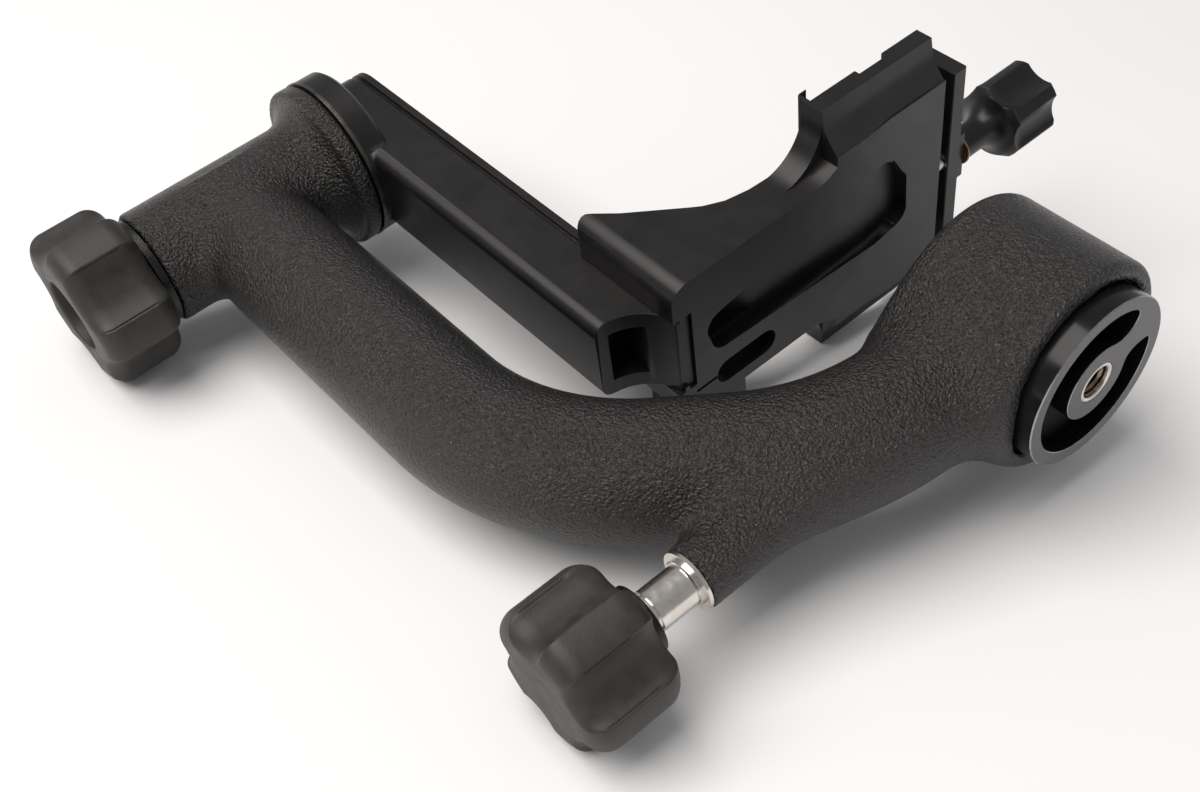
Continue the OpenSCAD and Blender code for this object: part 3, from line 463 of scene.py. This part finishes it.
tiltKnob = {"outerX": -180.6, "innerX": -156.8, "r": 24.9, "z": 221.0, "round": 5.5, "hole": 11.3,
            "holeX": -171.8, "bore": 9.05, "boreX": -171.8, "around": 960, "lobes": 5,
            "crest": 192.5, "crestHalf": 13.6, "valley": 4.8, "soften": 1.3, "plainR": 13.0,
            "lineWidth": 0.16, "lineDepth": 0.45, "lineX": (-178.5, -161.5)}
panKnob = {"outerX": -159.7, "innerX": -132.7, "r": 20.2, "z": 28.2, "round": 6.0, "hole": 0,
           "bore": 5.85, "boreX": -153.0, "around": 880, "lobes": 5,
           "crest": 199.0, "crestHalf": 14.6, "valley": 4.6, "soften": 1.3, "plainR": 7.0,
           "lineWidth": 0.16, "lineDepth": 0.45, "lineX": (-155.5, -140.0)}
buildKnob("tilt_knob_grip", tiltKnob, "tilt_knob", ("tilt_knob",))
buildKnob("pan_lock_knob_grip", panKnob, "pan_knob", ("pan_lock_knob",))
print("knobs")


# Base disc with its one-spoked relief, and the threaded insert

disc = {"r": 25.4, "h": 9.0, "rim": 0.3, "bore": 6.05, "spigotR": 10.05, "spigotZ": 6.0,
        "reliefR": 21.35, "reliefZ": 5.5, "reliefEdge": 0.16, "hubR": 11.4, "middleR": 15.9, "topEdge": 0.4,
        "cornerSoft": 6,
        "spokeHub": (-53.0, -5.0), "spokeMiddle": (-41.0, -9.5), "spokeRim": (-46.0, -5.5)}


def arcPoints(r, start, end, spacing=0.3):
    count = max(2, int(abs(math.radians(end - start)) * r / spacing))
    angles = np.radians(np.linspace(start, end, count))
    return np.stack([r * np.cos(angles), r * np.sin(angles)], 1)


def polar(r, angle):
    return np.array([r * math.cos(math.radians(angle)), r * math.sin(math.radians(angle))])


def linePoints(a, b, spacing=0.3):
    count = max(2, int(np.linalg.norm(b - a) / spacing))
    return a + (b - a) * np.linspace(0, 1, count, endpoint=False)[1:, None]


# The relief goes round the hub from one side of the spoke to the other
def reliefOutline():
    s = disc
    sides = [[polar(s["reliefR"], s["spokeRim"][i]), polar(s["middleR"], s["spokeMiddle"][i]),
              polar(s["hubR"], s["spokeHub"][i])] for i in (0, 1)]
    path = np.concatenate([
        arcPoints(s["reliefR"], s["spokeRim"][1], s["spokeRim"][0] + 360),
        linePoints(sides[0][0], sides[0][1]), linePoints(sides[0][1], sides[0][2]),
        arcPoints(s["hubR"], s["spokeHub"][0] + 360, s["spokeHub"][1]),
        linePoints(sides[1][2], sides[1][1]), linePoints(sides[1][1], sides[1][0])])
    reach = np.arange(-3 * s["cornerSoft"], 3 * s["cornerSoft"] + 1)
    weights = np.exp(-(reach / s["cornerSoft"]) ** 2 / 2)
    soft = sum(w * np.roll(path, k, axis=0) for k, w in zip(reach, weights)) / weights.sum()
    return soft[::2]


def offsetOutline(points, amount):
    along = np.roll(points, -1, axis=0) - np.roll(points, 1, axis=0)
    along /= np.linalg.norm(along, axis=1)[:, None]
    return points + np.stack([along[:, 1], -along[:, 0]], 1) * amount


class MeshParts:
    def __init__(self):
        self.verts, self.faces, self.paint = [], [], []

    def loop(self, points, z):
        start = len(self.verts)
        self.verts += [(x * mm, y * mm, z * mm) for x, y in points]
        return list(range(start, len(self.verts)))

    def wall(self, a, b, paint):
        for i in range(len(a)):
            j = (i + 1) % len(a)
            self.faces.append((a[i], a[j], b[j], b[i]))
            self.paint.append(paint)

    def sheet(self, loops, paint):
        order = [k for loop in loops for k in loop]
        flat = [[Vector(self.verts[k]) for k in loop] for loop in loops]
        for tri in tessellate_polygon(flat):
            self.faces.append(tuple(order[k] for k in tri))
            self.paint.append(paint)

    def build(self, name, body, slot, materials, replaced, sharp, weighted=False):
        mesh = bpy.data.meshes.new(name)
        mesh.from_pydata(self.verts, [], self.faces)
        mesh.polygons.foreach_set("material_index", self.paint)
        bm = bmesh.new()
        bm.from_mesh(mesh)
        bmesh.ops.remove_doubles(bm, verts=bm.verts, dist=1e-6)
        bmesh.ops.recalc_face_normals(bm, faces=bm.faces)
        bm.to_mesh(mesh)
        bm.free()
        return placePiece(name, mesh, body, materials, replaced, sharp, weighted)


def circlePoints(r, count=144):
    angles = np.arange(count) * 2 * math.pi / count
    return np.stack([r * np.cos(angles), r * np.sin(angles)], 1)


def buildDisc():
    s, parts = disc, MeshParts()
    relief = reliefOutline()
    edge = offsetOutline(relief, s["reliefEdge"])
    face, side, blackAndShade, line = 0, 1, 2, 3
    outer = parts.loop(circlePoints(s["r"] - s["rim"]), 0)
    rim = parts.loop(circlePoints(s["r"]), s["rim"])
    top = parts.loop(circlePoints(s["r"]), s["h"] - s["topEdge"])
    topEdge = parts.loop(circlePoints(s["r"] - s["topEdge"]), s["h"])
    bore = parts.loop(circlePoints(s["bore"]), 0)
    boreTop = parts.loop(circlePoints(s["bore"]), s["spigotZ"])
    seat = parts.loop(circlePoints(s["spigotR"]), s["spigotZ"])
    seatTop = parts.loop(circlePoints(s["spigotR"]), s["h"])
    edgeLoop = parts.loop(edge, 0)
    wallTop = parts.loop(relief, s["reliefEdge"])
    wallLow = parts.loop(relief, s["reliefZ"])
    parts.sheet([outer, edgeLoop, bore], face)
    # The relief's floor and walls and the bore take slot 2, black anodise darkened as painted shade in the
    # recesses
    parts.sheet([wallLow], blackAndShade)
    # Slot 3, on the relief's edge band and on the rim bevel, is a bright painted edge highlight
    parts.wall(edgeLoop, wallTop, line)
    parts.wall(wallTop, wallLow, blackAndShade)
    parts.wall(outer, rim, line)
    parts.wall(rim, top, side)
    parts.wall(top, topEdge, side)
    parts.wall(topEdge, seatTop, side)
    parts.wall(seatTop, seat, side)
    parts.wall(seat, boreTop, side)
    parts.wall(boreTop, bore, blackAndShade)
    parts.build("base_disc_turned", "pan_base", "base_anodised",
                ["discFace", "discSide", "relief", "discPaintedHighlight"], ("base_disc",), 40, True)


thread = {"outerR": 6.0, "lipR": 5.1, "majorR": 4.76, "depth": 0.55, "pitch": 1.5875,
          "length": 12.0, "leadIn": 0.35, "edge": 0.15, "perPitch": 8, "around": 96}


def buildInsert():
    s, parts = thread, MeshParts()
    around = s["around"]
    angles = np.arange(around) * 2 * math.pi / around
    rows = int(s["length"] / s["pitch"] * s["perPitch"])
    outerLow = parts.loop(circlePoints(s["outerR"] - s["edge"], around), 0)
    outerEdge = parts.loop(circlePoints(s["outerR"], around), s["edge"])
    outerTop = parts.loop(circlePoints(s["outerR"], around), s["length"])
    lip = parts.loop(circlePoints(s["lipR"], around), 0)
    parts.wall(outerLow, outerEdge, 0)
    parts.wall(outerEdge, outerTop, 0)
    parts.wall(outerLow, lip, 0)
    before = lip
    for row in range(rows + 1):
        z = s["leadIn"] + (s["length"] - s["leadIn"]) * row / rows
        phase = (z / s["pitch"] - angles / (2 * math.pi)) % 1
        ridge = 1 - np.abs(2 * phase - 1)
        r = s["majorR"] - s["depth"] * np.clip(ridge * 1.3 - 0.15, 0, 1) * min(1, row / 6)
        now = parts.loop(np.stack([r * np.cos(angles), r * np.sin(angles)], 1), z)
        # Thread rows take the darker bronze: painted shade inside the bore
        parts.wall(before, now, 0 if row == 0 else 1)
        before = now
    parts.wall(before, outerTop, 0)
    parts.build("thread_insert_threaded", "pan_base", "polished_steel", ["polished", "threadBronzeAndShade"],
                ("thread_insert",), 50)


buildDisc()
buildInsert()
print("base disc")


# Machined pieces

# Faces turned down get the lighter copy of the anodise: painted light on the underside
def undersidePaint(face):
    return 1 if face.normal.z < -0.7 else 0


washer = {"boreR": 3.35, "r": 5.4, "edge": 0.2, "around": 64}


def buildWasher():
    s, parts = washer, MeshParts()
    low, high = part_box("clamp_washer")
    axisZ = (low.z + high.z) / 2
    x0, x1 = low.x / mm, high.x / mm
    section = ((s["boreR"], x0), (s["r"] - s["edge"], x0), (s["r"], x0 + s["edge"]),
               (s["r"], x1 - s["edge"]), (s["r"] - s["edge"], x1), (s["boreR"], x1))
    loops = [parts.loop(circlePoints(r, s["around"]), x) for r, x in section]
    for first, second in zip(loops, loops[1:] + loops[:1]):
        parts.wall(first, second, 0)
    parts.verts = [(z, x, y + axisZ) for x, y, z in parts.verts]  # turned to lie along X
    parts.build("clamp_washer_turned", "moving_jaw", "brass", ["brass"], ("clamp_washer",), 40)


# The bevels of the anodised pieces take the lighter copy of the anodise, a painted edge highlight
machined("swing_arm", "swing_arm", ["anodised", "anodisedPaintedHighlight"], 0.3)
machined("platform", "platform", ["anodised", "underside", "anodisedPaintedHighlight"],
         0.3, 40, 2, undersidePaint)
machined("moving_jaw", "moving_jaw", ["anodised", "anodisedPaintedHighlight"], 0.3)
machined("clamp_knob", "clamp_knob", ["anodised", "anodisedPaintedHighlight"], 0.3)
buildWasher()
machined("hub_ring", "swing_arm", ["ringMetal"], 0.12)
machined("housing_cap", "c_arm", ["anodised", "anodisedPaintedHighlight"], 0.2)
print("machined pieces")


# The other CAD nodes keep their shape and get a finish

finishes = {
    "polished": ["pan_lock_bush", "pan_lock_shaft"],
    "steel": ["pan_bearing_lower", "pan_bearing_upper", "pan_spring_washer", "tilt_bearing_inner",
              "tilt_bearing_outer", "axle_screws", "jaw_guide_pins", "clamp_clip", "clamp_screw",
              "travel_pin"],
    "darkSteel": ["pan_spindle", "pan_lock_nut", "tilt_axle", "tilt_lock_nut", "tilt_brake_washer",
                  "pinch_screw", "pan_knob_collar"],
    "brass": ["tilt_knob_insert", "pan_brake_shoe"],
}
for finishName, nodeNames in finishes.items():
    for nodeName in nodeNames:
        node = frame["nodes"][nodeName]
        if not node.data.materials:
            node.data.materials.append(None)
        for slotIndex in range(len(node.material_slots)):
            node.material_slots[slotIndex].link = "OBJECT"
            node.material_slots[slotIndex].material = mats[finishName]
print("finishes")


# Stage: floor, lamps, world and camera

# The face of the hull, on the +Y side, that the head lies on
def supportPlane():
    bm = bmesh.new()
    centre, parts = Vector((0, 0, 0)), 0
    for node in frame["nodes"].values():
        for vert in node.data.vertices:
            if vert.co.y > 0.01:
                bm.verts.new(vert.co)
            centre += vert.co
            parts += 1
    centre /= parts
    bm.verts.new((-0.05, -0.2, 0.1))
    bmesh.ops.convex_hull(bm, input=bm.verts)
    best = None
    for face in bm.faces:
        if face.normal.y < 0.5 or len(face.verts) < 3:
            continue
        corners = [v.co for v in face.verts]
        ray = (corners[0] - centre).dot(face.normal) / face.normal.y
        hit = centre + Vector((0, ray, 0))
        sides = [(b - a).cross(hit - a).dot(face.normal) for a, b in zip(corners, corners[1:] + corners[:1])]
        if min(sides) >= -1e-9 and (best is None or ray > best[0]):
            best = (ray, hit, face.normal.copy())
    bm.free()
    return best[1], -best[2]


photoCamera = {"lens": 47.49, "sensor": 36, "near": 0.01, "at": Vector((-0.2442, -0.3137, -0.1416)),
               "right": Vector((0.7574, 0.1041, -0.6446)), "down": Vector((-0.5419, 0.6510, -0.5316)),
               "ahead": Vector((0.3642, 0.7519, 0.5495))}
floorAt, floorUp = supportPlane()
ahead = photoCamera["ahead"]
acrossBack = (ahead - ahead.dot(floorUp) * floorUp).normalized()
acrossRight = acrossBack.cross(floorUp)
print("floor", [round(v, 4) for v in (*floorAt, *floorUp)])


def floorMaterial():
    mat, tree, shader = nodeTree("paperFloor")
    coords = tree.nodes.new("ShaderNodeTexCoord").outputs["Object"]
    mottle = noiseNode(tree, coords, 3.0, 2.0)
    tree.links.new(mixColour(tree, mapRange(tree, mottle, 0, 1), (0.885, 0.89, 0.895), (0.91, 0.915, 0.92)),
                   shader.inputs["Base Color"])
    shader.inputs["Roughness"].default_value = 0.9
    shader.inputs["Specular IOR Level"].default_value = 0.1
    clear = tree.nodes.new("ShaderNodeBsdfTransparent")
    pick = tree.nodes.new("ShaderNodeMixShader")
    facing = tree.nodes.new("ShaderNodeNewGeometry")
    tree.links.new(facing.outputs["Backfacing"], pick.inputs["Fac"])
    tree.links.new(shader.outputs["BSDF"], pick.inputs[1])
    tree.links.new(clear.outputs["BSDF"], pick.inputs[2])
    tree.links.new(pick.outputs["Shader"], tree.nodes["Material Output"].inputs["Surface"])
    return mat


def buildFloor(half=3.0):
    at = floorAt - floorUp * 0.2 * mm  # just clear of the head
    corners = [at + acrossRight * a * half + acrossBack * b * half
               for a, b in ((-1, -1), (1, -1), (1, 1), (-1, 1))]
    mesh = bpy.data.meshes.new("floor")
    mesh.from_pydata([tuple(c) for c in corners], [], [(0, 1, 2, 3)])
    mesh.materials.append(floorMaterial())
    if mesh.polygons[0].normal.dot(floorUp) < 0:
        mesh.flip_normals()
    obj = bpy.data.objects.new("floor", mesh)
    bpy.context.scene.collection.objects.link(obj)


def areaLamp(name, right, back, up, size, power, colour=(1, 1, 1)):
    data = bpy.data.lights.new(name, "AREA")
    data.shape = "RECTANGLE"
    data.size, data.size_y = size
    data.energy = power
    data.color = colour
    obj = bpy.data.objects.new(name, data)
    target = Vector((-0.06, 0, 0.12))
    obj.location = target + acrossRight * right + acrossBack * back + floorUp * up
    obj.rotation_euler = (target - obj.location).to_track_quat("-Z", "Y").to_euler()
    bpy.context.scene.collection.objects.link(obj)


def buildWorld(glow=0.34, seen=0.95):
    world = bpy.data.worlds.new("studio")
    bpy.context.scene.world = world
    world.use_nodes = True
    tree = world.node_tree
    background = tree.nodes["Background"]
    path = tree.nodes.new("ShaderNodeLightPath")
    pick = tree.nodes.new("ShaderNodeMix")
    pick.data_type = "RGBA"
    pick.inputs["A"].default_value = (glow, glow, glow * 1.01, 1)
    pick.inputs["B"].default_value = (seen, seen, seen, 1)
    tree.links.new(path.outputs["Is Camera Ray"], pick.inputs["Factor"])
    tree.links.new(pick.outputs["Result"], background.inputs["Color"])
    background.inputs["Strength"].default_value = 1.0


def buildCamera():
    s = photoCamera
    data = bpy.data.cameras.new("photoCamera")
    data.lens, data.sensor_width, data.clip_start = s["lens"], s["sensor"], s["near"]
    obj = bpy.data.objects.new("photoCamera", data)
    axes = Matrix((s["right"], -s["down"], -s["ahead"])).transposed()
    obj.matrix_world = Matrix.Translation(s["at"]) @ axes.to_4x4()
    bpy.context.scene.collection.objects.link(obj)
    bpy.context.scene.camera = obj


buildFloor()
areaLamp("keyLamp", -0.75, -0.25, 1.5, (1.5, 1.5), 33, (1, 0.955, 0.92))
buildWorld()

buildCamera()
bpy.context.scene.view_settings.view_transform = "Standard"
print("stage")

bpy.context.view_layer.update()
